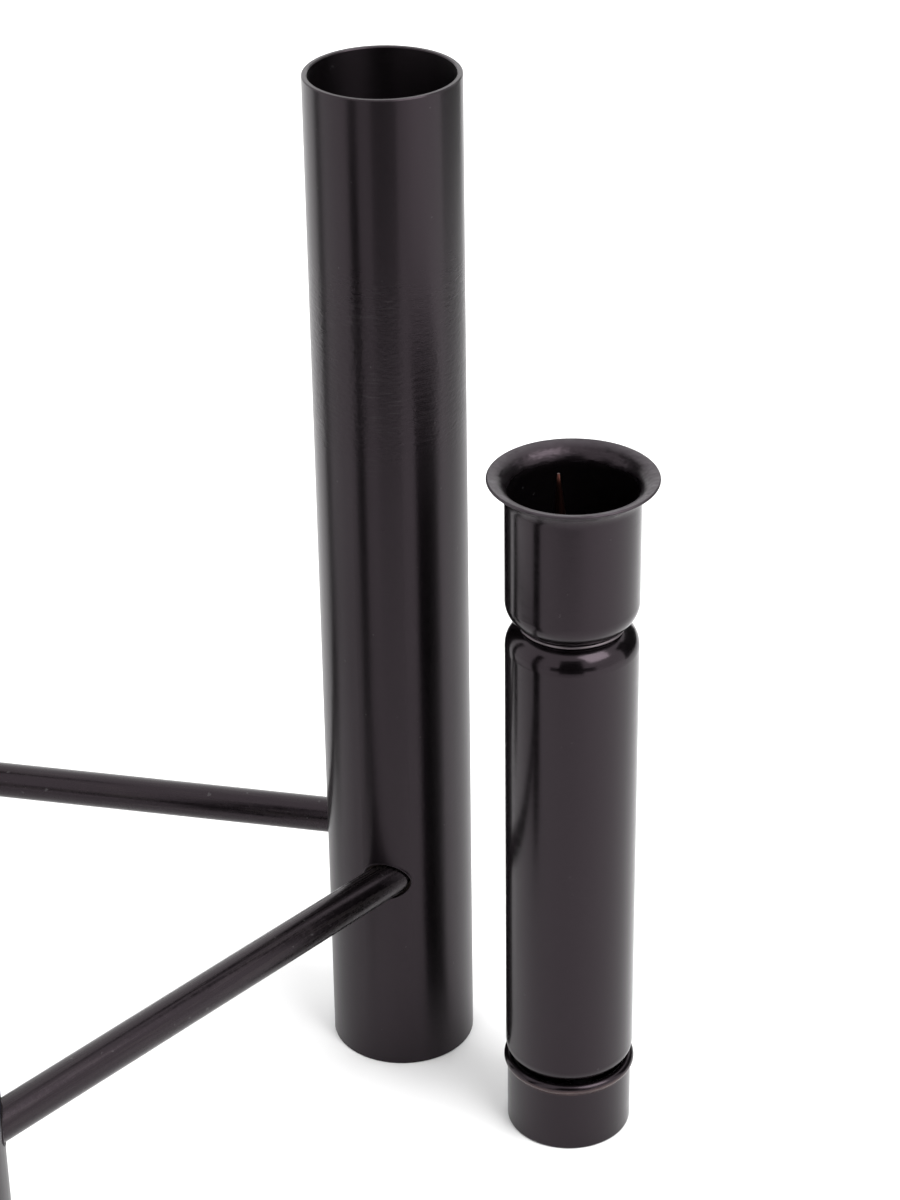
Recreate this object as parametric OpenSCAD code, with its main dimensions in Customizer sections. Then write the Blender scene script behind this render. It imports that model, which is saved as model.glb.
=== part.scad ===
// Tabletop candelabra: three tall tubes joined by three rods in a triangle, and three lift-out candle
// inserts. Two inserts hang in their tubes by a flared lip and one stands loose beside its empty tube.
// Millimetres, +Z up, origin at the centre of tube A's foot. +X points from the triangle's centre to A.

/* [Tubes] */
// Outer diameter of a tube
tube_d = 28; // [24:0.5:34]
// Wall thickness of a tube
tube_wall = 1; // [0.8:0.1:1.5]
// Height of a tube
tube_h = 202; // [170:1:260]
// Distance between the axes of two tubes
tube_spacing = 121; // [90:0.5:180]
// Chamfer on a tube's cut edges
rim_chamfer = 0.2; // [0.1:0.05:0.3]
// Depth of the plug's seat in a tube's foot
plug_h = 3; // [2:0.5:6]
// Wall left round the plug's seat
plug_seat_wall = 0.7; // [0.5:0.05:0.75]

/* [Rods] */
// Diameter of a rod
rod_d = 7; // [5:0.1:8]
// Height of the rods' axes above the table
rod_z = 43.5; // [20:0.5:60]
// Distance of a rod's axis outside the line between two tube axes
rod_offset = 7; // [5:0.25:7.5]
// Radial gap between a rod and its hole
rod_gap = 0.5; // [0.3:0.05:0.7]
// Depth of brazing metal left in that gap, from the tube's inside
braze_depth = 0.5; // [0.3:0.05:0.7]

/* [Insert] */
// Total height of an insert
insert_h = 138.5; // [120:0.5:150]
// Outer diameter of the candle cup and the sleeve
cup_d = 24.2; // [23.4:0.1:25]
// Sheet thickness of the candle cup
cup_wall = 0.6; // [0.5:0.05:0.8]
// Outer diameter of the candle cup's flared lip
lip_d = 30.5; // [29.5:0.1:33]
// Height of the candle cup's underside above the foot
cup_base_z = 109.5; // [100:0.5:112]
// Outside radius of the candle cup's bottom corner
cup_corner = 4.8; // [3:0.1:6]
// Thickness of the washer on the candle cup's floor
washer_t = 0.8; // [0.5:0.1:2]
// Sheet thickness of the sleeve
sleeve_wall = 0.8; // [0.6:0.05:1]
// Outside radius of the sleeve's shoulder
sleeve_shoulder = 4.5; // [2:0.1:5]
// Outside radius of the sleeve's lower corner
sleeve_corner = 3; // [2:0.1:4]
// Height of the sleeve's underside above the foot
sleeve_base_z = 15.2; // [14.5:0.1:18]

/* [Foot of the insert] */
// Outer diameter of the foot cup
foot_d = 23.6; // [22.5:0.1:24]
// Height of the foot cup over its rolled bead
foot_h = 15.1; // [13:0.1:15.1]
// Sheet thickness of the foot cup
foot_wall = 0.6; // [0.5:0.05:0.8]
// Outer diameter over the foot cup's rolled bead
bead_d = 24.9; // [24:0.1:25.4]
// Thickness of the rolled bead
bead_t = 2; // [1.2:0.1:2.2]
// Height of the foot cup's pushed-in floor
foot_floor_z = 3.2; // [2.8:0.1:5]

/* [Spike and tie rod] */
// Diameter of the tie rod
tie_d = 4; // [3:0.5:5]
// Diameter of the spike's threaded base
spike_base_d = 8; // [7:0.5:12]
// Height of the spike's threaded base
spike_base_h = 6; // [4:0.5:8]
// Diameter of the spike above its base
spike_d = 4.8; // [3:0.1:6]
// Diameter of the spike's blunted tip
spike_tip_d = 0.5; // [0.4:0.1:1]
// Drop of the spike's tip below the lip
spike_drop = 0.4; // [0:0.1:5]

/* [Placing] */
// Gap under a hung insert's lip
hang_gap = 0.1; // [0.05:0.05:0.3]
// Place of the loose insert along X
loose_x = 21.7; // [21:0.1:60]
// Place of the loose insert along Y
loose_y = -37.9; // [-60:0.1:-30]

/* [Hidden] */
$fn = 128;
eps = 0.5;
corner_turn = 360 / 3;
tube_r = tube_d / 2;
bore_r = tube_r - tube_wall;
plug_r = tube_r - plug_seat_wall;
rod_r = rod_d / 2;
hole_r = rod_r + rod_gap;
rod_end_r = bore_r + 0.05;
braze_bore_r = rod_r + 0.01;
centre_x = -tube_spacing / sqrt(3);
side_dist = tube_spacing / (2 * sqrt(3));

cup_r = cup_d / 2;
lip_r = lip_d / 2;
flare_r = lip_r - cup_r;
flare_z = insert_h - flare_r - cup_wall;
cup_floor_z = cup_base_z + cup_wall;
foot_r = foot_d / 2;
bead_r = bead_t / 2;
bead_ring_r = bead_d / 2 - bead_r;
bead_z = foot_h - bead_r;
foot_bore_r = foot_r - foot_wall;
hem_r = foot_bore_r - foot_wall;
foot_edge = 0.4;

tie_r = tie_d / 2;
tie_hole_r = tie_r + 0.1;
tie_low_z = 0.6;
tie_grip = 5;
washer_r = 6;
spacer_r = 4.5;
nut_flats = 7;
nut_h = 2.2;
spike_z = cup_floor_z + washer_t;
spike_taper_z = spike_z + spike_base_h;
tie_top_z = spike_z + tie_grip;

// A hung insert's flare meets the upper edge of the chamfer inside the tube's rim
seat_r = bore_r + rim_chamfer;
seat_rise = sqrt(flare_r ^ 2 - (lip_r - seat_r) ^ 2);
hang_z = tube_h - flare_z - seat_rise + hang_gap;

lacquer = [0.09, 0.085, 0.09];
steel = [0.55, 0.55, 0.57];
brass = [0.72, 0.58, 0.3];
plastic = [0.05, 0.05, 0.05];

// ---- Placing ----

// Stands its children at corner k of the triangle: 0 is A, 1 is B and 2 is C
module at_corner(k) {
  translate([centre_x, 0, 0])
    rotate(corner_turn * k)
      translate([-centre_x, 0, 0])
        children();
}

// Lays its children along the side from corner k to the next one, at the rods' height
module along_side(k) {
  translate([centre_x, 0, rod_z])
    rotate(corner_turn * (k + 0.5))
      translate([side_dist + rod_offset, 0, 0])
        rotate([90, 0, 0])
          children();
}

// Points its children along each of the two rods that meet at corner A
module towards_rods() {
  for (side = [-1, 1])
    rotate(corner_turn / 2 * side)
      translate([rod_offset, 0, rod_z])
        rotate([-90 * side, 0, 0])
          children();
}

// Hangs its children in the tube at corner k
module hung(k) {
  at_corner(k)
    translate([0, 0, hang_z])
      children();
}

// Stands its children on the table beside tube A
module loose() {
  translate([loose_x, loose_y, 0])
    children();
}

// ---- Frame ----

module tube_profile() {
  polygon([
    [plug_r + rim_chamfer, 0],
    [tube_r - rim_chamfer, 0],
    [tube_r, rim_chamfer],
    [tube_r, tube_h - rim_chamfer],
    [tube_r - rim_chamfer, tube_h],
    [bore_r + rim_chamfer, tube_h],
    [bore_r, tube_h - rim_chamfer],
    [bore_r, plug_h],
    [plug_r, plug_h],
    [plug_r, rim_chamfer]
  ]);
}

module tube() {
  color(lacquer)
    difference() {
      rotate_extrude()
        tube_profile();
      towards_rods()
        cylinder(r = hole_r, h = tube_r + rod_offset);
    }
}

module foot_plug() {
  color(plastic)
    rotate_extrude()
      polygon([
        [0, 0],
        [plug_r - rim_chamfer, 0],
        [plug_r, rim_chamfer],
        [plug_r, plug_h],
        [0, plug_h]
      ]);
}

// A rod's ends are trimmed flush with the bores of the two tubes it joins
module rod(k) {
  color(lacquer)
    difference() {
      along_side(k)
        cylinder(r = rod_r, h = tube_spacing, center = true);
      for (corner = [k, k + 1])
        at_corner(corner)
          translate([0, 0, rod_z - tube_r])
            cylinder(r = rod_end_r, h = tube_d);
    }
}

// Two rings of brazing metal, each in the gap between a rod and its hole
module braze() {
  color(brass)
    difference() {
      intersection() {
        translate([0, 0, rod_z - tube_r])
          cylinder(r = bore_r + braze_depth, h = tube_d);
        towards_rods()
          difference() {
            cylinder(r = hole_r, h = tube_r + rod_offset);
            translate([0, 0, -eps])
              cylinder(r = braze_bore_r, h = tube_r + rod_offset + 2 * eps);
          }
      }
      translate([0, 0, rod_z - tube_d])
        cylinder(r = bore_r, h = 2 * tube_d);
    }
}

// ---- Insert ----

// Half outline of a can with a rounded lower corner, from radius zero outwards
module can_outline(radius, corner, low, high) {
  translate([0, low + corner])
    square([radius, high - low - corner]);
  translate([0, low])
    square([radius - corner, corner + eps]);
  translate([radius - corner, low + corner])
    intersection() {
      circle(r = corner);
      translate([0, -corner])
        square([corner, corner]);
    }
}

// Sheet of the flared lip: a quarter ring that ends in a rounded edge
module lip_outline() {
  edge_r = cup_wall / 2;
  intersection() {
    translate([lip_r, flare_z])
      difference() {
        circle(r = flare_r + cup_wall);
        circle(r = flare_r);
      }
    translate([0, flare_z])
      square([lip_r - edge_r, insert_h]);
  }
  translate([lip_r - edge_r, insert_h - edge_r])
    circle(r = edge_r);
}

module candle_cup() {
  color(lacquer)
    rotate_extrude() {
      difference() {
        can_outline(cup_r, cup_corner, cup_base_z, flare_z);
        can_outline(cup_r - cup_wall, cup_corner - cup_wall, cup_floor_z, flare_z + eps);
        translate([0, cup_base_z - eps])
          square([tie_hole_r, tie_d]);
      }
      lip_outline();
    }
}

module spike() {
  color(steel)
    rotate_extrude()
      polygon([
        [tie_r, spike_z],
        [spike_base_d / 2 - rim_chamfer, spike_z],
        [spike_base_d / 2, spike_z + rim_chamfer],
        [spike_base_d / 2, spike_taper_z - rim_chamfer],
        [spike_base_d / 2 - rim_chamfer, spike_taper_z],
        [spike_d / 2, spike_taper_z],
        [spike_tip_d / 2, insert_h - spike_drop],
        [0, insert_h - spike_drop],
        [0, tie_top_z],
        [tie_r, tie_top_z]
      ]);
}

// A round plate or spacer with a clearance hole for the tie rod
module spacer(radius, low, high) {
  color(steel)
    rotate_extrude()
      translate([tie_hole_r, low])
        square([radius - tie_hole_r, high - low]);
}

module cup_washer() {
  spacer(washer_r, cup_floor_z, spike_z);
}

module foot_spacer() {
  spacer(spacer_r, foot_floor_z + foot_wall, sleeve_base_z);
}

// Half outline of the sleeve or of its hollow, rounded at both ends and closed under the candle cup
module sleeve_outline(inset) {
  middle_z = (cup_base_z + sleeve_base_z) / 2;
  radius = cup_r - inset;
  can_outline(radius, sleeve_corner - inset, sleeve_base_z + inset, middle_z);
  translate([0, 2 * middle_z])
    mirror([0, 1])
      can_outline(radius, sleeve_shoulder - inset, 2 * middle_z - cup_base_z + inset, middle_z);
}

module sleeve() {
  color(lacquer)
    rotate_extrude()
      difference() {
        sleeve_outline(0);
        sleeve_outline(sleeve_wall);
        square([tie_hole_r, insert_h]);
      }
}

module tie_rod() {
  color(steel)
    rotate_extrude()
      polygon([
        [0, tie_low_z],
        [tie_r - rim_chamfer, tie_low_z],
        [tie_r, tie_low_z + rim_chamfer],
        [tie_r, tie_top_z],
        [0, tie_top_z]
      ]);
}

// The sheet turns up inside the wall to a pushed-in floor, which leaves room for the nut
module foot_cup() {
  color(lacquer)
    rotate_extrude() {
      difference() {
        can_outline(foot_r, foot_edge, 0, bead_z);
        translate([0, foot_floor_z + foot_wall])
          square([foot_bore_r, insert_h]);
        square([2 * hem_r, 2 * foot_floor_z], center = true);
        square([2 * tie_hole_r, insert_h], center = true);
      }
      translate([bead_ring_r, bead_z])
        circle(r = bead_r);
    }
}

module lock_nut() {
  color(steel)
    translate([0, 0, foot_floor_z - nut_h])
      difference() {
        cylinder(d = nut_flats / cos(30), h = nut_h, $fn = 6);
        translate([0, 0, -eps])
          cylinder(r = tie_r, h = nut_h + 2 * eps);
      }
}

// ---- Nodes ----

at_corner(0) tube();  // tube_a
at_corner(1) tube();  // tube_b
at_corner(2) tube();  // tube_c
at_corner(0) foot_plug();  // foot_plug_a
at_corner(1) foot_plug();  // foot_plug_b
at_corner(2) foot_plug();  // foot_plug_c
rod(0);  // rod_ab
rod(1);  // rod_bc
rod(2);  // rod_ca
at_corner(0) braze();  // braze_a
at_corner(1) braze();  // braze_b
at_corner(2) braze();  // braze_c
loose() candle_cup();  // candle_cup_a
hung(1) candle_cup();  // candle_cup_b
hung(2) candle_cup();  // candle_cup_c
loose() spike();  // spike_a
hung(1) spike();  // spike_b
hung(2) spike();  // spike_c
loose() cup_washer();  // cup_washer_a
hung(1) cup_washer();  // cup_washer_b
hung(2) cup_washer();  // cup_washer_c
loose() sleeve();  // sleeve_a
hung(1) sleeve();  // sleeve_b
hung(2) sleeve();  // sleeve_c
loose() tie_rod();  // tie_rod_a
hung(1) tie_rod();  // tie_rod_b
hung(2) tie_rod();  // tie_rod_c
loose() foot_spacer();  // foot_spacer_a
hung(1) foot_spacer();  // foot_spacer_b
hung(2) foot_spacer();  // foot_spacer_c
loose() foot_cup();  // foot_cup_a
hung(1) foot_cup();  // foot_cup_b
hung(2) foot_cup();  // foot_cup_c
loose() lock_nut();  // lock_nut_a
hung(1) lock_nut();  // lock_nut_b
hung(2) lock_nut();  // lock_nut_c
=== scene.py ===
"""Looks of the tabletop candelabra: lacquer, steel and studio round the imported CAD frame. Metres, +Z up."""
import math

import bpy
from mathutils import Matrix, Vector


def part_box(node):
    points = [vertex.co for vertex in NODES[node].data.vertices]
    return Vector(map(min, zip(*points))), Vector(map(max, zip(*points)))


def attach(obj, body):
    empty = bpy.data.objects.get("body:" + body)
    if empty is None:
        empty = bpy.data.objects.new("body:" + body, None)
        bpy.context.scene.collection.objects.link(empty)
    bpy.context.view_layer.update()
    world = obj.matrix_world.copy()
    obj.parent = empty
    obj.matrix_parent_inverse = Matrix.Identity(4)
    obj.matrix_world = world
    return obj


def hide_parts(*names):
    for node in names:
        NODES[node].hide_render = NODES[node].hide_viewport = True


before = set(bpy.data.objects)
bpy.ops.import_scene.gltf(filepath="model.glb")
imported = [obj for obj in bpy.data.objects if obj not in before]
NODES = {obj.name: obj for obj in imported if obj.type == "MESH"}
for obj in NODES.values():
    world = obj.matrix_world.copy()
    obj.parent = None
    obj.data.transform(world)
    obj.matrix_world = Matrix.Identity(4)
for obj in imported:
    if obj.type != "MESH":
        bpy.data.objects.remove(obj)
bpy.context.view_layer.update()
MM = 0.001

# ---- Sizes of the part that the looks refer to ----

HANG_RISE = 64.958 * MM
FLARE_Z = 134.75 * MM
LIP_Z = 138.5 * MM
BEAD_Z = 14.1 * MM
TUBE_R = 14 * MM
HOLE_R = 4 * MM
SPIKE_BASE_R = 4 * MM
SPIKE_BASE_H = 6 * MM
SPIKE_R = 2.4 * MM
SPIKE_TIP_R = 0.25 * MM
SPIKE_SHIFT = (-1.47 * MM, 1.31 * MM)
SPIKE_LEAN = (-0.014, 0.064, 0)  # sideways shift for each metre of height
SPIKE_ROWS = 12
SPIKE_PITCH = 1.25 * MM
SPIKE_THREAD = 0.35 * MM
TIE_R = 2 * MM
TIE_PITCH = 0.7 * MM
TIE_THREAD = 0.3 * MM
TIE_THREAD_H = 9.1 * MM
TIE_RUNOUT = 0.1 * MM
ROWS_PER_TURN = 8
SEAM_R = 9.4 * MM
SEAM_RISE = 0.05 * MM
SEAM_THICK = 0.34 * MM
SEAM_WAVE = 0.03 * MM
BURR_THICK = 0.16 * MM
BURR_WAVE = 0.06 * MM
NUT_EDGE = 0.25 * MM
ROD_Z = 43.5 * MM
ROD_OFFSET = 7 * MM
CENTRE_X = -69.859 * MM

# ---- Camera ----

CAMERA_PLACE = Vector((-0.1497, -0.5050, 0.3923))
VIEW_TURN = math.radians(17.65)  # from +Y towards +X
VIEW_DOWN = math.radians(29.22)
VIEW_ROLL = math.radians(-0.78)
LENS_MM = 96.33
SENSOR_MM = 36
LEVEL = Vector((math.sin(VIEW_TURN), math.cos(VIEW_TURN), 0))  # the direction of view, without its tilt


def make_camera():
    """Looks from above at the foot of tube A, with the loose insert to its right."""
    data = bpy.data.cameras.new("camera")
    data.lens = LENS_MM
    data.sensor_width = SENSOR_MM
    data.clip_start = 0.01
    data.clip_end = 20
    camera = bpy.data.objects.new("camera", data)
    ahead = LEVEL * math.cos(VIEW_DOWN) - Vector((0, 0, math.sin(VIEW_DOWN)))
    right = ahead.cross(Vector((0, 0, 1))).normalized()
    up = right.cross(ahead)
    turned_right = right * math.cos(VIEW_ROLL) + up * math.sin(VIEW_ROLL)
    turned_up = up * math.cos(VIEW_ROLL) - right * math.sin(VIEW_ROLL)
    turn = Matrix((turned_right, turned_up, -ahead)).transposed().to_4x4()
    camera.matrix_world = Matrix.Translation(CAMERA_PLACE) @ turn
    bpy.context.scene.collection.objects.link(camera)
    bpy.context.scene.camera = camera


# ---- Node helpers ----


class Graph:
    """A material's node tree, with short calls for the nodes that the finishes share."""

    def __init__(self, name):
        self.material = bpy.data.materials.new(name)
        self.material.use_nodes = True
        self.tree = self.material.node_tree
        self.shader = self.tree.nodes["Principled BSDF"]
        self.place = self.add("ShaderNodeTexCoord").outputs["Object"]

    def add(self, kind, **settings):
        node = self.tree.nodes.new(kind)
        for key, value in settings.items():
            setattr(node, key, value)
        return node

    def link(self, source, target):
        self.tree.links.new(source, target)

    def put(self, socket, value):
        if isinstance(value, bpy.types.NodeSocket):
            self.link(value, socket)
        else:
            socket.default_value = value

    def math(self, operation, *values):
        node = self.add("ShaderNodeMath", operation=operation)
        for socket, value in zip(node.inputs, values):
            self.put(socket, value)
        return node.outputs[0]

    def turned(self, angle):
        """Turns the place about Z, so that the X of later textures lies along a rod."""
        node = self.add("ShaderNodeVectorRotate", rotation_type="Z_AXIS")
        self.link(self.place, node.inputs["Vector"])
        node.inputs["Angle"].default_value = -angle
        self.place = node.outputs[0]

    def stretched(self, scale, offset=(0, 0, 0)):
        """The place on the object, scaled per metre along each axis."""
        node = self.add("ShaderNodeMapping")
        self.link(self.place, node.inputs["Vector"])
        node.inputs["Scale"].default_value = scale
        node.inputs["Location"].default_value = offset
        return node.outputs[0]

    def noise(self, scale, detail=2.0, rough=0.5, offset=(0, 0, 0)):
        node = self.add("ShaderNodeTexNoise")
        self.link(self.stretched(scale, offset), node.inputs["Vector"])
        node.inputs["Scale"].default_value = 1.0
        node.inputs["Detail"].default_value = detail
        node.inputs["Roughness"].default_value = rough
        return node.outputs["Fac"]

    def ramp(self, value, low, high, out_low=0.0, out_high=1.0):
        node = self.add("ShaderNodeMapRange", interpolation_type="SMOOTHSTEP")
        self.put(node.inputs["Value"], value)
        for key, number in (("From Min", low), ("From Max", high), ("To Min", out_low), ("To Max", out_high)):
            node.inputs[key].default_value = number
        return node.outputs[0]

    def blend(self, share, first, second):
        node = self.add("ShaderNodeMix", data_type="RGBA")
        self.put(node.inputs["Factor"], share)
        for socket, value in ((node.inputs[6], first), (node.inputs[7], second)):
            self.put(socket, value if isinstance(value, bpy.types.NodeSocket) else (*value, 1.0))
        return node.outputs[2]

    def height(self):
        split = self.add("ShaderNodeSeparateXYZ")
        self.link(self.place, split.inputs[0])
        return split.outputs["Z"]

    def bump(self, value, distance, strength=1.0, normal=None):
        node = self.add("ShaderNodeBump")
        node.inputs["Distance"].default_value = distance
        node.inputs["Strength"].default_value = strength
        self.put(node.inputs["Height"], value)
        if normal is not None:
            self.link(normal, node.inputs["Normal"])
        return node.outputs[0]

    def finish(self, **sockets):
        for key, value in sockets.items():
            socket = self.shader.inputs[key.replace("_", " ")]
            if isinstance(value, tuple) and len(value) == 3:
                value = (*value, 1.0)
            self.put(socket, value)
        return self.material


# ---- Finishes ----


def band(g, low, high, soft, outside=0.0):
    """Share of a band of heights, which falls softly to the outside share below and above it."""
    z = g.height()
    above = g.ramp(z, low - soft, low + soft, outside)
    below = g.ramp(z, high - soft, high + soft, 1.0, outside)
    return g.math("MULTIPLY", above, below)


def insert_band(g, low, high, soft):
    """Share of a band of heights above the insert's foot, on a standing insert and on a hung one."""
    return g.math("MAXIMUM", *(band(g, low + rise, high + rise, soft) for rise in (0, HANG_RISE)))


LACQUER_IOR = 1.37
LACQUER_SHEEN = (1.0, 0.80, 0.93)
INK = (0.0013, 0.001, 0.0012)
BRUSHED_INK = (0.012, 0.010, 0.012)
DRAWN_INK = (0.0075, 0.0065, 0.006)
DUST = (0.018, 0.018, 0.018)
ROD_DUST = (0.03, 0.03, 0.03)
RIPPLE_DEPTH = 0.02 * MM
DENT_DEPTH = 0.42 * MM
GRAZE_DEPTH = 4  # times the depth of the turning marks
LINE_DEPTH = 0.0018 * MM
GRAIN_DEPTH = 0.0035 * MM
UNSCUFFED = 0.15  # share of the scuffs left outside the scuffed band
WORN_ROUGHNESS = 0.06


def lacquer(name, gloss, brushed, marks, scored, wear_and_highlight=None, satin=None, scuffed=None):
    """Black lacquer over turned metal: rougher along the axis than round it, with short turning marks.

    marks is how light the marks are and scored how deep. wear_and_highlight is the lowest and highest height
    of a lighter band on an insert, how softly it ends, and its tint: worn lacquer, and on the foot's bead
    partly a painted highlight. satin is the same for a rough, brushed and slightly dented band, with the
    added roughness in place of the tint. scuffed is the lowest and highest height of the band that the marks
    keep to, and how softly it ends.
    """
    g = Graph(name)
    cloud = g.noise((38, 38, 22), detail=3, offset=(3, 1, 2))
    streak = g.noise((230, 230, 3000), detail=2, rough=0.6)
    patch = g.noise((90, 90, 60), detail=2, offset=(1, 4, 7))
    shown = g.math("MULTIPLY", g.ramp(streak, 0.54, 0.70), g.ramp(patch, 0.42, 0.65))
    graze = g.noise((900, 900, 1700), detail=3, offset=(2, 9, 4))
    if scuffed:
        share = band(g, *scuffed, UNSCUFFED)
        shown = g.math("MULTIPLY", shown, share)
        graze, streak = (
            g.math("MULTIPLY_ADD", share, g.math("SUBTRACT", value, 0.5), 0.5) for value in (graze, streak)
        )
    colour = g.blend(shown, INK, tuple(c + marks for c in INK))
    dust = g.ramp(g.noise((800, 800, 800), detail=1, offset=(8, 3, 5)), 0.78, 0.82)
    colour = g.blend(dust, colour, DUST)
    rough = g.ramp(cloud, 0.3, 0.7, gloss - 0.02, gloss + 0.02)
    rough = g.math("ADD", rough, g.ramp(streak, 0.3, 0.7, -0.03, 0.03))
    # The lighter band is worn lacquer; on the foot's bead its brownish tint is partly a painted highlight.
    if wear_and_highlight:
        low, high, soft, tint = wear_and_highlight
        speck = g.noise((260, 260, 1400), detail=3, offset=(5, 2, 1))
        share = g.math("MULTIPLY", insert_band(g, low, high, soft), g.ramp(speck, 0.3, 0.7, 0.55, 1.0))
        colour = g.blend(share, colour, tint)
        rough = g.math("ADD", rough, g.math("MULTIPLY", share, WORN_ROUGHNESS))
    if satin:
        low, high, soft, extra = satin
        share = insert_band(g, low, high, soft)
        brush = g.noise((300, 300, 2400), detail=3, rough=0.7, offset=(7, 7, 3))
        added = g.math("MULTIPLY", share, g.ramp(brush, 0.3, 0.7, extra * 0.6, extra))
        rough = g.math("ADD", rough, added)
        colour = g.blend(g.math("MULTIPLY", share, g.ramp(brush, 0.5, 0.75)), colour, BRUSHED_INK)
        dent = g.math("MULTIPLY", share, g.noise((130, 130, 260), detail=3, rough=0.6, offset=(6, 2, 8)))
    ripple = g.noise((70, 70, 45), detail=2)
    normal = g.bump(ripple, RIPPLE_DEPTH, 0.25)
    if satin:
        normal = g.bump(dent, DENT_DEPTH, 1.0, normal)
    normal = g.bump(graze, scored * GRAZE_DEPTH, 1.0, normal)
    normal = g.bump(streak, scored, 1.0, normal)
    tangent = g.add("ShaderNodeTangent", direction_type="RADIAL", axis="Z")
    return g.finish(
        Base_Color=colour,
        Roughness=rough,
        Normal=normal,
        Tangent=tangent.outputs[0],
        Anisotropic=brushed,
        Anisotropic_Rotation=0.25,
        IOR=LACQUER_IOR,
        Specular_Tint=LACQUER_SHEEN,
    )


def rod_lacquer(name, heading):
    """Black lacquer over a drawn rod, with fine lines along it and a slight grain."""
    g = Graph(name)
    g.turned(heading)
    line = g.noise((60, 1600, 1600), detail=3, rough=0.6)
    grain = g.noise((900, 1100, 1100), detail=2, offset=(4, 4, 1))
    speck = g.ramp(g.noise((700, 700, 700), detail=1, offset=(8, 3, 5)), 0.74, 0.78)
    colour = g.blend(g.ramp(line, 0.45, 0.75), INK, DRAWN_INK)
    colour = g.blend(speck, colour, ROD_DUST)
    rough = g.math("ADD", g.ramp(line, 0.3, 0.7, 0.21, 0.31), g.ramp(grain, 0.3, 0.7, -0.03, 0.03))
    normal = g.bump(line, LINE_DEPTH)
    normal = g.bump(grain, GRAIN_DEPTH, 1.0, normal)
    return g.finish(
        Base_Color=colour, Roughness=rough, Normal=normal, IOR=LACQUER_IOR, Specular_Tint=LACQUER_SHEEN
    )


def steel(name, tint, gloss):
    """Bare metal, mottled and finely ground."""
    g = Graph(name)
    streak = g.noise((900, 900, 4000), detail=2)
    cloud = g.noise((300, 300, 120), detail=3)
    colour = g.blend(cloud, tuple(c * 0.8 for c in tint), tint)
    rough = g.ramp(cloud, 0.3, 0.7, gloss - 0.06, gloss + 0.08)
    normal = g.bump(streak, 0.004 * MM)
    return g.finish(Base_Color=colour, Roughness=rough, Normal=normal, Metallic=1.0)


def plastic(name):
    """Dark grained plastic."""
    g = Graph(name)
    grain = g.noise((3500, 3500, 3500), detail=2)
    cloud = g.noise((120, 120, 120), detail=2)
    colour = g.blend(cloud, (0.018, 0.018, 0.019), (0.028, 0.028, 0.03))
    normal = g.bump(grain, 0.02 * MM)
    return g.finish(Base_Color=colour, Roughness=g.ramp(cloud, 0.3, 0.7, 0.5, 0.62), Normal=normal)


def dress():
    """Gives every CAD node its finish."""
    lip_wear = (LIP_Z - 0.45 * MM, LIP_Z + MM, 0.45 * MM, (0.028, 0.025, 0.028))
    flare_satin = (FLARE_Z + MM, LIP_Z + 5 * MM, 1.6 * MM, 0.2)
    # On the foot's bead the brownish tint is partly worn lacquer and partly a painted highlight along its
    # lower edge.
    bead_wear_and_highlight = (BEAD_Z - 1.2 * MM, BEAD_Z + 0.15 * MM, 0.3 * MM, (0.05, 0.033, 0.03))
    tube_scuffs = (134 * MM, 168 * MM, 5 * MM)
    fine = {"brushed": 0.4, "marks": 0.002, "scored": 0.0004 * MM}
    finishes = {
        "tube": lacquer(
            "tube_lacquer", gloss=0.30, brushed=0.85, marks=0.008, scored=0.014 * MM, scuffed=tube_scuffs
        ),
        "rod_ab": rod_lacquer("rod_ab_lacquer", math.radians(150)),
        "rod_bc": rod_lacquer("rod_bc_lacquer", math.radians(90)),
        "rod_ca": rod_lacquer("rod_ca_lacquer", math.radians(30)),
        "candle_cup": lacquer("cup_lacquer", gloss=0.20, **fine, wear_and_highlight=lip_wear, satin=flare_satin),
        "sleeve": lacquer("sleeve_lacquer", gloss=0.19, **fine),
        "foot_cup": lacquer("foot_lacquer", gloss=0.22, **fine, wear_and_highlight=bead_wear_and_highlight),
        # The seam bead's light metal colour is a painted highlight for the bright line along the crease under
        # the cup.
        "seam": steel("seam_painted_highlight", (0.15, 0.13, 0.14), 0.38),
        "braze": steel("braze_metal", (0.05, 0.04, 0.035), 0.5),
        "spike": steel("spike_steel", (0.036, 0.014, 0.011), 0.38),
        "hardware": steel("hardware_steel", (0.5, 0.5, 0.52), 0.3),
        "foot_plug": plastic("plug_plastic"),
    }
    for name, node in NODES.items():
        kind = name if name in finishes else name.rsplit("_", 1)[0]
        material = finishes.get(kind, finishes["hardware"])
        node.data.materials.clear()
        node.data.materials.append(material)
        if name.startswith("lock_nut"):
            edge = node.modifiers.new("edge", "BEVEL")
            edge.width = NUT_EDGE
            edge.segments = 2
    return finishes


# ---- Added detail ----


def rounded_piece(name, path, thickness, material, body, ring=10):
    """A closed round bead along a path of (place, outward direction) pairs, riding on a body."""
    steps = len(path)
    points, faces = [], []
    for i, (point, outward) in enumerate(path):
        ahead = (path[(i + 1) % steps][0] - path[i - 1][0]).normalized()
        sideways = ahead.cross(outward).normalized()
        outward = sideways.cross(ahead)
        for j in range(ring):
            angle = 2 * math.pi * j / ring
            spoke = outward * math.cos(angle) + sideways * math.sin(angle)
            points.append(point + spoke * thickness(i / steps))
            a, b = i * ring + j, i * ring + (j + 1) % ring
            c, d = ((i + 1) % steps) * ring + j, ((i + 1) % steps) * ring + (j + 1) % ring
            faces.append((a, b, d, c))
    mesh = bpy.data.meshes.new(name)
    mesh.from_pydata(points, [], faces)
    mesh.materials.append(material)
    for face in mesh.polygons:
        face.use_smooth = True
    piece = bpy.data.objects.new(name, mesh)
    bpy.context.scene.collection.objects.link(piece)
    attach(piece, body)


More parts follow.
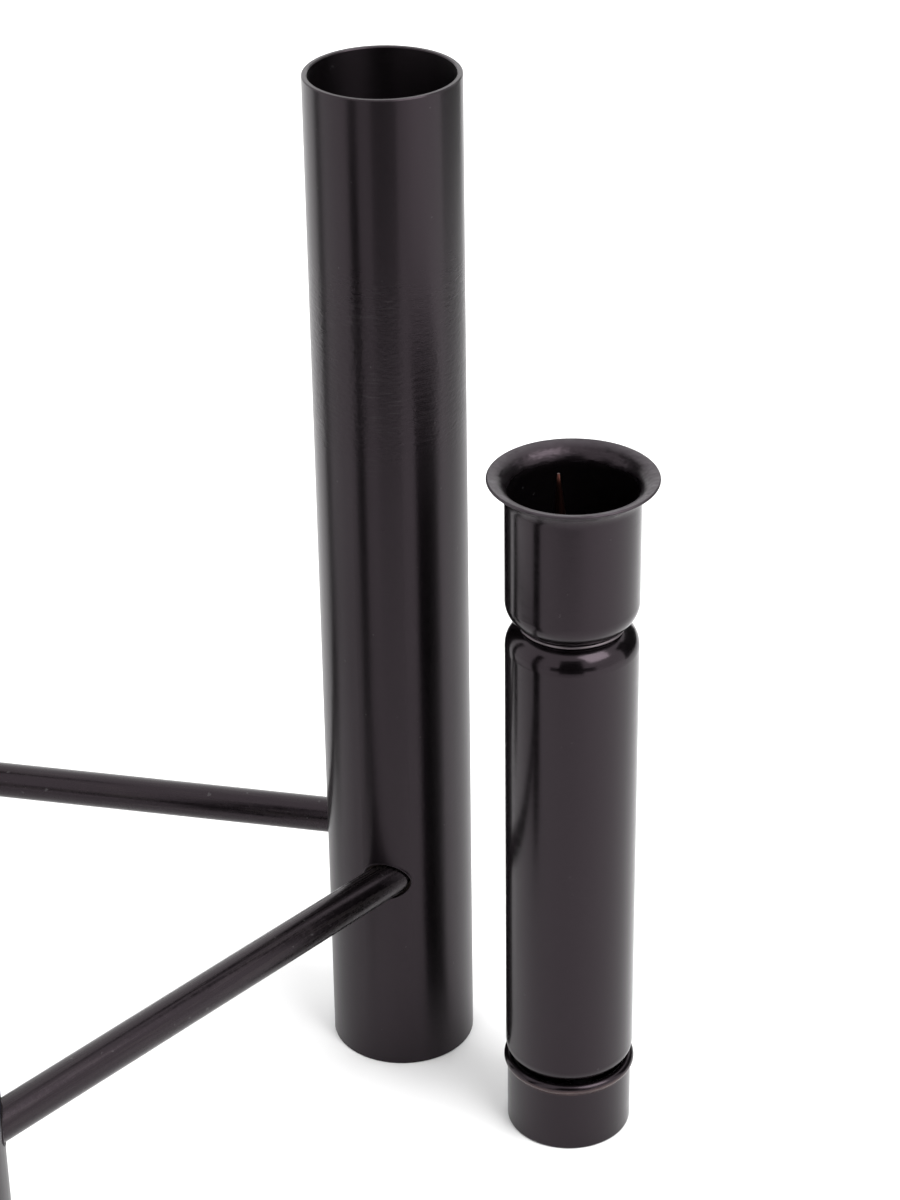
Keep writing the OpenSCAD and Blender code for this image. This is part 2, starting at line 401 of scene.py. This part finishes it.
def thread_rows(low, high, radius, pitch, depth):
    """Rows of (height, radius at an angle) that cut a screw thread into a rod between two heights."""
    count = round((high - low) / pitch * ROWS_PER_TURN)
    rows = []
    for i in range(count + 1):
        z = low + (high - low) * i / count
        cut = depth if 0 < i < count else 0.0
        edge = depth if i in (0, count) else 0.0

        def width(angle, z=z, cut=cut, edge=edge):
            phase = (z / pitch - angle / (2 * math.pi)) % 1
            return radius - edge - cut * abs(2 * phase - 1)

        rows.append((z, width))
    return rows


def turned_piece(name, axis, rows, material, replaced, body, lean=(0, 0, 0), lean_from=0.0, sides=48):
    """A turned piece given by rows of (height, radius at an angle) that stands for a CAD node."""
    points = []
    for z, width in rows:
        shift = Vector(lean) * max(0.0, z - lean_from)
        for j in range(sides):
            angle = 2 * math.pi * j / sides
            radius = width(angle)
            place = Vector((axis[0] + radius * math.cos(angle), axis[1] + radius * math.sin(angle), z))
            points.append(place + shift)
    faces = [tuple(reversed(range(sides))), tuple(range(len(points) - sides, len(points)))]
    for i in range(len(rows) - 1):
        for j in range(sides):
            a, b = i * sides + j, i * sides + (j + 1) % sides
            faces.append((a, b, b + sides, a + sides))
    mesh = bpy.data.meshes.new(name)
    mesh.from_pydata(points, [], faces)
    mesh.materials.append(material)
    for face in mesh.polygons:
        face.use_smooth = len(face.vertices) == 4
    piece = bpy.data.objects.new(name, mesh)
    bpy.context.scene.collection.objects.link(piece)
    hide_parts(replaced)
    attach(piece, body)


def make_spike(letter, shift, lean, material):
    """The spike, with a thread on its base. The loose insert's spike stands a little off the axis."""
    low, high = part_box(f"spike_{letter}")
    axis = (low[0] + high[0]) / 2 + shift[0], (low[1] + high[1]) / 2 + shift[1]
    top = low[2] + SPIKE_BASE_H
    rows = thread_rows(low[2], top, SPIKE_BASE_R, SPIKE_PITCH, SPIKE_THREAD)
    for i in range(SPIKE_ROWS + 1):
        share = i / SPIKE_ROWS
        width = SPIKE_R + (SPIKE_TIP_R - SPIKE_R) * share
        rows.append((top + (high[2] - top) * share, lambda angle, width=width: width))
    name, body = f"spike_point_{letter}", f"insert_{letter}"
    turned_piece(name, axis, rows, material, f"spike_{letter}", body, lean, top)


def make_tie_rod(letter, material):
    """The tie rod, threaded at its lower end where the lock nut sits."""
    low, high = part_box(f"tie_rod_{letter}")
    axis = (low[0] + high[0]) / 2, (low[1] + high[1]) / 2
    top = low[2] + TIE_THREAD_H
    rows = thread_rows(low[2], top, TIE_R, TIE_PITCH, TIE_THREAD)
    rows += [(z, lambda angle: TIE_R) for z in (top + TIE_RUNOUT, high[2])]
    name, body = f"tie_rod_thread_{letter}", f"insert_{letter}"
    turned_piece(name, axis, rows, material, f"tie_rod_{letter}", body)


def burr(name, corner, side, material, steps=96):
    """A thin raised edge round a rod's hole in a tube, left by drilling and softened by the lacquer."""
    centre = Vector((CENTRE_X, 0, 0))
    turn = Matrix.Rotation(math.radians(120 * corner), 3, "Z")
    out = turn @ Vector((math.cos(math.radians(60 * side)), math.sin(math.radians(60 * side)), 0))
    along = Vector((-out.y, out.x, 0)) * side
    axis = centre + turn @ (-centre)

    def thickness(share):
        return BURR_THICK + BURR_WAVE * math.sin(6 * math.pi * share + corner)

    path = []
    for i in range(steps):
        angle = 2 * math.pi * i / steps
        across = ROD_OFFSET + HOLE_R * math.cos(angle)
        reach = math.sqrt(TUBE_R**2 - across**2)
        outward = out * across + along * reach
        rise = Vector((0, 0, ROD_Z + HOLE_R * math.sin(angle)))
        path.append((axis + outward + rise, outward.normalized()))
    rounded_piece(name, path, thickness, material, "frame")


def seam(name, letter, material, steps=128):
    """A thin bead in the crease between a candle cup and its sleeve; its light metal colour is a painted
    highlight.
    """
    low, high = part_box(f"candle_cup_{letter}")
    axis = Vector(((low[0] + high[0]) / 2, (low[1] + high[1]) / 2, low[2] + SEAM_RISE))

    def thickness(share):
        return SEAM_THICK + SEAM_WAVE * math.sin(10 * math.pi * share)

    path = []
    for i in range(steps):
        angle = 2 * math.pi * i / steps
        outward = Vector((math.cos(angle), math.sin(angle), 0))
        path.append((axis + outward * SEAM_R, outward))
    rounded_piece(name, path, thickness, material, f"insert_{letter}")


def make_details(finishes):
    """The burrs, seams, spikes and tie rods."""
    for corner, letter in enumerate("abc"):
        for side, number in ((1, 1), (-1, 2)):
            burr(f"burr_{letter}{number}", corner, side, finishes["tube"])
        seam(f"neck_seam_{letter}", letter, finishes["seam"])
        shift, lean = (SPIKE_SHIFT, SPIKE_LEAN) if letter == "a" else ((0, 0), (0, 0, 0))
        make_spike(letter, shift, lean, finishes["spike"])
        make_tie_rod(letter, finishes["hardware"])


# ---- Studio ----

WORLD_GLOW = 1.70
FLOOR_SIDE = 6.0
KEY_PLACE = (0.42, -0.62, 0.95)
KEY_AIM = (0.03, -0.06, 0.05)
KEY_SIDE = 0.7
KEY_WATTS = 11.5
CARD_FOOT = 0.02
# The lacquer mirrors the dark cards as dim upright bands. They stand just in front of the camera, on the
# right, behind the camera and at the right rear. Each has a name, place, facing, width and top.
CARDS = (
    ("camera_card", CAMERA_PLACE + LEVEL * 0.16, LEVEL, 0.24, 0.46),
    ("side_card", Vector((0.45, -0.05, 0)), Vector((1, 0, 0)), 0.20, 0.45),
    ("horizon_card", CAMERA_PLACE - LEVEL * 0.55, LEVEL, 1.6, 0.34),
    ("rear_card", Vector((0.40, 0.14, 0)), Vector((0.94, 0.34, 0)), 0.28, 0.35),
)


def make_floor():
    """A plain white floor."""
    mesh = bpy.data.meshes.new("floor")
    half = FLOOR_SIDE / 2
    corners = [(-half, -half, 0), (half, -half, 0), (half, half, 0), (-half, half, 0)]
    mesh.from_pydata(corners, [], [(0, 1, 2, 3)])
    floor = bpy.data.objects.new("floor", mesh)
    bpy.context.scene.collection.objects.link(floor)
    g = Graph("floor_paint")
    cloud = g.noise((9, 9, 9), detail=3)
    colour = g.blend(cloud, (0.88, 0.88, 0.88), (0.9, 0.9, 0.9))
    mesh.materials.append(g.finish(Base_Color=colour, Roughness=0.6, Specular_IOR_Level=0.2))


def softbox(name, place, aim, side, watts):
    """A square soft light at a place, turned towards a point."""
    data = bpy.data.lights.new(name, "AREA")
    data.shape = "SQUARE"
    data.size = side
    data.energy = watts
    light = bpy.data.objects.new(name, data)
    turn = (Vector(aim) - Vector(place)).to_track_quat("-Z", "Y").to_matrix().to_4x4()
    light.matrix_world = Matrix.Translation(place) @ turn
    light.visible_camera = False
    bpy.context.scene.collection.objects.link(light)


def dark_card(name, place, facing, width, top):
    """An upright dark card that the camera doesn't see, and reflections do."""
    across = Vector((facing.y, -facing.x, 0)).normalized() * width / 2
    low, high = (Vector((place[0], place[1], z)) for z in (CARD_FOOT, top))
    mesh = bpy.data.meshes.new(name)
    mesh.from_pydata([low - across, low + across, high + across, high - across], [], [(0, 1, 2, 3)])
    card = bpy.data.objects.new(name, mesh)
    card.visible_camera = False
    bpy.context.scene.collection.objects.link(card)
    g = Graph(name + "_cloth")
    mesh.materials.append(g.finish(Base_Color=(0.01, 0.01, 0.01), Roughness=0.9))


def make_lights():
    """A white dome, with a soft key light above the camera and to its right."""
    world = bpy.data.worlds.new("studio")
    bpy.context.scene.world = world
    world.use_nodes = True
    background = world.node_tree.nodes["Background"]
    background.inputs["Color"].default_value = (1, 1, 1, 1)
    background.inputs["Strength"].default_value = WORLD_GLOW
    softbox("key", KEY_PLACE, KEY_AIM, KEY_SIDE, KEY_WATTS)


make_camera()
finishes = dress()
make_details(finishes)
make_floor()
make_lights()
for card in CARDS:
    dark_card(*card)
bpy.context.scene.view_settings.view_transform = "Standard"
